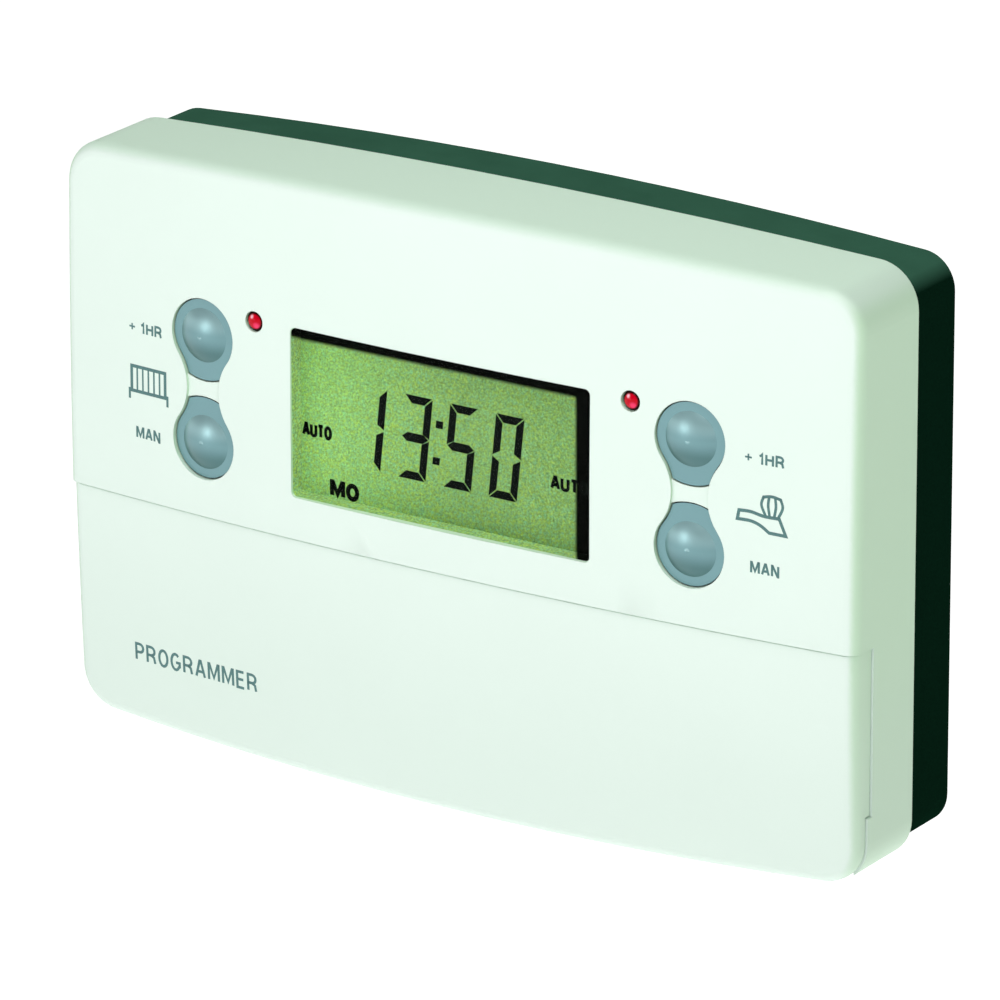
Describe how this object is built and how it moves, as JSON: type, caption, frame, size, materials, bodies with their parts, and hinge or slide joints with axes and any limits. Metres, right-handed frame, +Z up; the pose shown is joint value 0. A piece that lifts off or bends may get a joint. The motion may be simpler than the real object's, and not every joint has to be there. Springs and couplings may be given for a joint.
{
  "type": "two-channel heating programmer",
  "caption": "Wall-mounted central-heating and hot-water timer: screwed wall plate, plug-in module with display, domed keys and a drop-down flap.",
  "frame": {"origin": "on the wall plane, midway between the two wall screws", "axes": "+Z up, -Y out of the wall towards the user, +X to the user's right"},
  "size_m": [0.135, 0.0302, 0.091],
  "materials": {
    "black_plastic": "satin",
    "brass": "machined",
    "capacitor_black": "shrink sleeve",
    "capacitor_yellow": "moulded box",
    "circuit_board": "solder resist over glass laminate",
    "clear_plastic": "clear polished",
    "cream_plastic": "fine spark-textured ABS, warm white",
    "dark_plastic": "fine textured ABS, dark green-grey",
    "display_glass": "clear",
    "display_reflector": "grainy green-grey film",
    "key_grey": "satin blue-grey",
    "lamp_red": "tinted clear",
    "plunger_white": "satin",
    "relay_blue": "moulded",
    "resistor_green": "cement coat",
    "silicone": "soft",
    "steel": "zinc plated",
    "terminal_grey": "glass-filled nylon",
    "tinned_bronze": "tin plated",
    "varistor_blue": "dipped epoxy",
    "white_plastic": "satin"
  },
  "bodies": {
    "wall_unit": {"wall_plate": "dark_plastic", "terminal_block": "terminal_grey", "terminal_clamps": "brass", "terminal_screws": "steel", "plate_contacts": "tinned_bronze", "retaining_screws": "steel"},
    "module": {"backup_cell": "steel", "board_link": "black_plastic", "case_screws": "steel", "clock_crystal": "steel", "contact_blades": "tinned_bronze", "control_board": "circuit_board", "control_board_screws": "steel", "display_frame": "black_plastic", "display_front_glass": "display_glass", "display_lens": "clear_plastic", "display_rear_glass": "display_glass", "display_reflector": "display_reflector", "dropper_resistor": "resistor_green", "fascia_switches": "steel", "front_cover": "cream_plastic", "front_switches": "black_plastic", "heating_lamp": "lamp_red", "heating_relay": "relay_blue", "lamp_spacers": "black_plastic", "mains_capacitor": "capacitor_yellow", "microcontroller": "black_plastic", "power_board": "circuit_board", "power_board_screws": "steel", "rear_housing": "dark_plastic", "selector_switch": "black_plastic", "smoothing_capacitor": "capacitor_black", "surge_varistor": "varistor_blue", "water_lamp": "lamp_red", "water_relay": "relay_blue", "zebra_connectors": "silicone"},
    "flap": {"flap": "cream_plastic"},
    "selector": {"selector_slider": "white_plastic"},
    "heating_boost": {"heating_boost_key": "key_grey", "heating_boost_plunger": "plunger_white"},
    "heating_manual": {"heating_manual_key": "key_grey", "heating_manual_plunger": "plunger_white"},
    "water_boost": {"water_boost_key": "key_grey", "water_boost_plunger": "plunger_white"},
    "water_manual": {"water_manual_key": "key_grey", "water_manual_plunger": "plunger_white"},
    "programme": {"programme_key": "key_grey"},
    "day": {"day_key": "key_grey"},
    "copy": {"copy_key": "key_grey"},
    "minus": {"minus_key": "key_grey"},
    "plus": {"plus_key": "key_grey"},
    "next": {"next_key": "key_grey"},
    "select": {"select_key": "key_grey"},
    "reset": {"reset_key": "key_grey"}
  },
  "joints": [
    {"name": "module_release", "type": "slide", "parent": "wall_unit", "child": "module", "axis": [0, -1, 0], "range_m": [0, 0.03]},
    {"name": "flap_hinge", "type": "hinge", "parent": "module", "child": "flap", "pos_m": [0, -0.0226, -0.0429], "axis": [1, 0, 0], "range_deg": [0, 100]},
    {"name": "selector_slide", "type": "slide", "parent": "module", "child": "selector", "axis": [1, 0, 0], "range_m": [0, 0.003]},
    {"name": "heating_boost_press", "type": "slide", "parent": "module", "child": "heating_boost", "axis": [0, 1, 0], "range_m": [0, 0.0005], "stiffness_N_per_m": 2000, "springref_m": -0.0003},
    {"name": "heating_manual_press", "type": "slide", "parent": "module", "child": "heating_manual", "axis": [0, 1, 0], "range_m": [0, 0.0005], "stiffness_N_per_m": 2000, "springref_m": -0.0003},
    {"name": "water_boost_press", "type": "slide", "parent": "module", "child": "water_boost", "axis": [0, 1, 0], "range_m": [0, 0.0005], "stiffness_N_per_m": 2000, "springref_m": -0.0003},
    {"name": "water_manual_press", "type": "slide", "parent": "module", "child": "water_manual", "axis": [0, 1, 0], "range_m": [0, 0.0005], "stiffness_N_per_m": 2000, "springref_m": -0.0003},
    {"name": "programme_press", "type": "slide", "parent": "module", "child": "programme", "axis": [0, 1, 0], "range_m": [0, 0.0003], "stiffness_N_per_m": 3000, "springref_m": -0.0002},
    {"name": "day_press", "type": "slide", "parent": "module", "child": "day", "axis": [0, 1, 0], "range_m": [0, 0.0003], "stiffness_N_per_m": 3000, "springref_m": -0.0002},
    {"name": "copy_press", "type": "slide", "parent": "module", "child": "copy", "axis": [0, 1, 0], "range_m": [0, 0.0003], "stiffness_N_per_m": 3000, "springref_m": -0.0002},
    {"name": "minus_press", "type": "slide", "parent": "module", "child": "minus", "axis": [0, 1, 0], "range_m": [0, 0.0003], "stiffness_N_per_m": 3000, "springref_m": -0.0002},
    {"name": "plus_press", "type": "slide", "parent": "module", "child": "plus", "axis": [0, 1, 0], "range_m": [0, 0.0003], "stiffness_N_per_m": 3000, "springref_m": -0.0002},
    {"name": "next_press", "type": "slide", "parent": "module", "child": "next", "axis": [0, 1, 0], "range_m": [0, 0.0003], "stiffness_N_per_m": 3000, "springref_m": -0.0002},
    {"name": "select_press", "type": "slide", "parent": "module", "child": "select", "axis": [0, 1, 0], "range_m": [0, 0.0003], "stiffness_N_per_m": 3000, "springref_m": -0.0002},
    {"name": "reset_press", "type": "slide", "parent": "module", "child": "reset", "axis": [0, 1, 0], "range_m": [0, 0.0003], "stiffness_N_per_m": 3000, "springref_m": -0.0002}
  ]
}
